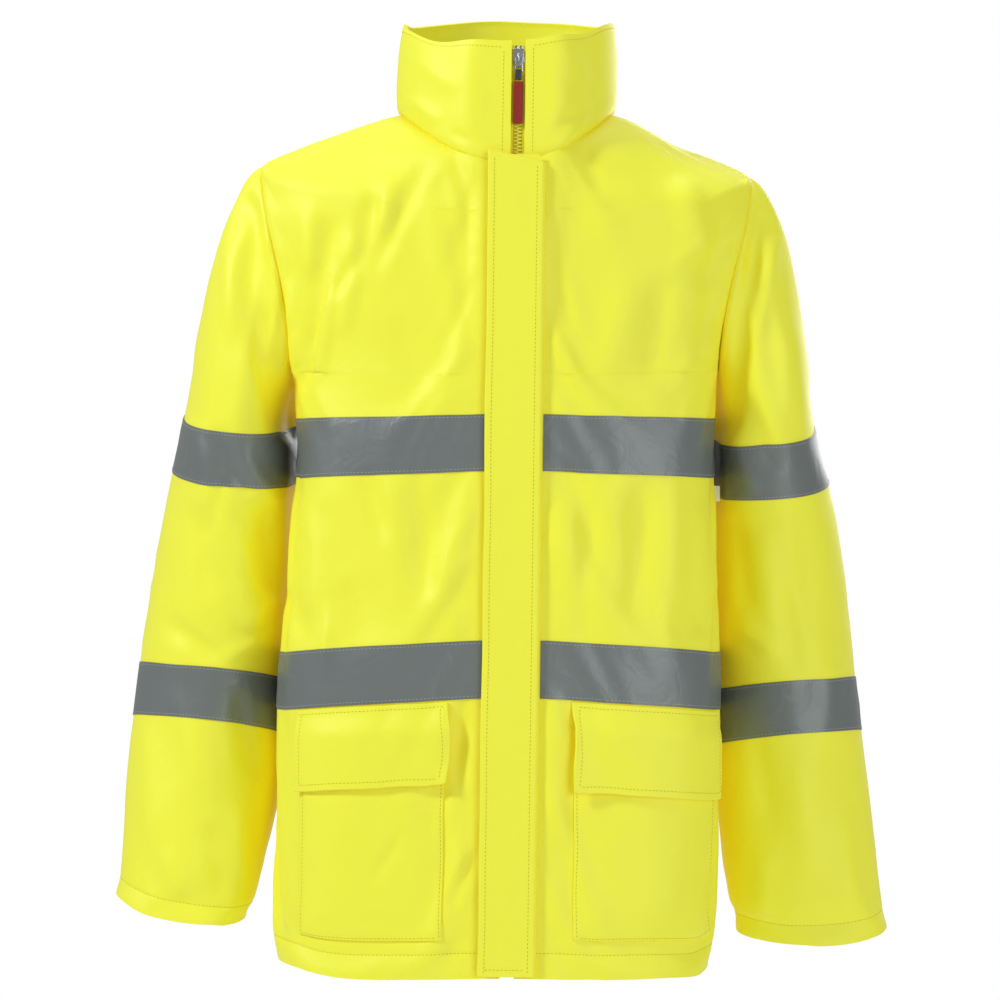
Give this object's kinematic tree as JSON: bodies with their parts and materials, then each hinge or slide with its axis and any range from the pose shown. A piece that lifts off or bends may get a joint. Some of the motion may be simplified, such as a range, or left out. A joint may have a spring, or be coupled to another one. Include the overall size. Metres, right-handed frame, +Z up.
{
  "type": "foul weather jacket",
  "caption": "High-visibility hip-length parka with stand collar, full-length zip under a storm flap, flapped patch pockets and reflective tape.",
  "frame": {"origin": "middle of the underside of the hanger loop, at the back of the neck", "axes": "+Z up, the wearer looks along -Y, +X is the wearer's left"},
  "size_m": [0.691, 0.2816, 0.8569],
  "materials": {
    "shell": "matte",
    "lining": "matte",
    "reflective": "satin",
    "zip_tape": "matte",
    "zip_teeth": "gloss",
    "nickel": "polished",
    "tab_red": "matte",
    "tab_holder": "matte",
    "touch_and_close": "matte",
    "label": "matte"
  },
  "bodies": {
    "jacket": {"back_panel": "shell", "back_lining": "lining", "collar_outer": "shell", "collar_lining": "shell", "hanger_loop": "shell", "side_label": "label", "zip_tape_right": "zip_tape", "zip_tape_left": "zip_tape", "zip_teeth_right": "zip_teeth", "zip_teeth_left": "zip_teeth", "zip_top_stop_right": "nickel", "zip_top_stop_left": "nickel", "zip_box": "zip_teeth", "zip_guard": "shell", "back_chest_tape": "reflective", "back_waist_tape": "reflective", "right_front_panel": "shell", "right_front_lining": "lining", "right_chest_tape": "reflective", "right_waist_tape": "reflective", "right_pocket": "shell", "right_pocket_loop_strip": "touch_and_close", "left_front_panel": "shell", "left_front_lining": "lining", "left_chest_tape": "reflective", "left_waist_tape": "reflective", "left_pocket": "shell", "left_pocket_loop_strip": "touch_and_close", "front_loop_strip_1": "touch_and_close", "front_loop_strip_2": "touch_and_close", "front_loop_strip_3": "touch_and_close", "front_loop_strip_4": "touch_and_close"},
    "right_arm": {"right_sleeve": "shell", "right_sleeve_lining": "lining", "right_sleeve_upper_tape": "reflective", "right_sleeve_lower_tape": "reflective"},
    "right_flap": {"right_pocket_flap": "shell", "right_pocket_hook_strip": "touch_and_close"},
    "left_arm": {"left_sleeve": "shell", "left_sleeve_lining": "lining", "left_sleeve_upper_tape": "reflective", "left_sleeve_lower_tape": "reflective"},
    "left_flap": {"left_pocket_flap": "shell", "left_pocket_hook_strip": "touch_and_close"},
    "storm_flap": {"storm_flap": "shell", "storm_flap_facing": "shell", "storm_flap_hook_strip_1": "touch_and_close", "storm_flap_hook_strip_2": "touch_and_close", "storm_flap_hook_strip_3": "touch_and_close", "storm_flap_hook_strip_4": "touch_and_close"},
    "slider": {"zip_slider": "nickel", "zip_bail": "nickel"},
    "puller": {"zip_puller": "nickel"},
    "tab": {"tab_holder": "tab_holder", "zip_tab": "tab_red"}
  },
  "joints": [
    {"name": "storm_flap_hinge", "type": "hinge", "parent": "jacket", "child": "storm_flap", "pos_m": [0.03272, -0.19132, -0.4365], "axis": [0.0132, 0.0491, 0.9987], "range_deg": [0, 110]},
    {"name": "zip_travel", "type": "slide", "parent": "jacket", "child": "slider", "axis": [-0.0132, -0.0491, -0.9987], "range_m": [0, 0.773]},
    {"name": "puller_swing", "type": "hinge", "parent": "slider", "child": "puller", "pos_m": [0.01351, -0.16389, 0.00198], "axis": [-0.9999, 0.0006, 0.0132], "range_deg": [0, 130]},
    {"name": "tab_swing", "type": "hinge", "parent": "puller", "child": "tab", "pos_m": [0.01335, -0.16446, -0.00971], "axis": [-0.9999, 0.0006, 0.0132], "range_deg": [0, 40]},
    {"name": "right_pocket_flap_hinge", "type": "hinge", "parent": "jacket", "child": "right_flap", "pos_m": [-0.11, -0.19457, -0.556], "axis": [-1, 0, 0], "range_deg": [0, 130]},
    {"name": "left_pocket_flap_hinge", "type": "hinge", "parent": "jacket", "child": "left_flap", "pos_m": [0.11, -0.19457, -0.556], "axis": [-1, 0, 0], "range_deg": [0, 130]},
    {"name": "right_sleeve_raise", "type": "hinge", "parent": "jacket", "child": "right_arm", "pos_m": [-0.2175, -0.0749, -0.083], "axis": [0, 1, 0], "range_deg": [0, 35]},
    {"name": "left_sleeve_raise", "type": "hinge", "parent": "jacket", "child": "left_arm", "pos_m": [0.2175, -0.0749, -0.083], "axis": [0, -1, 0], "range_deg": [0, 35]}
  ]
}
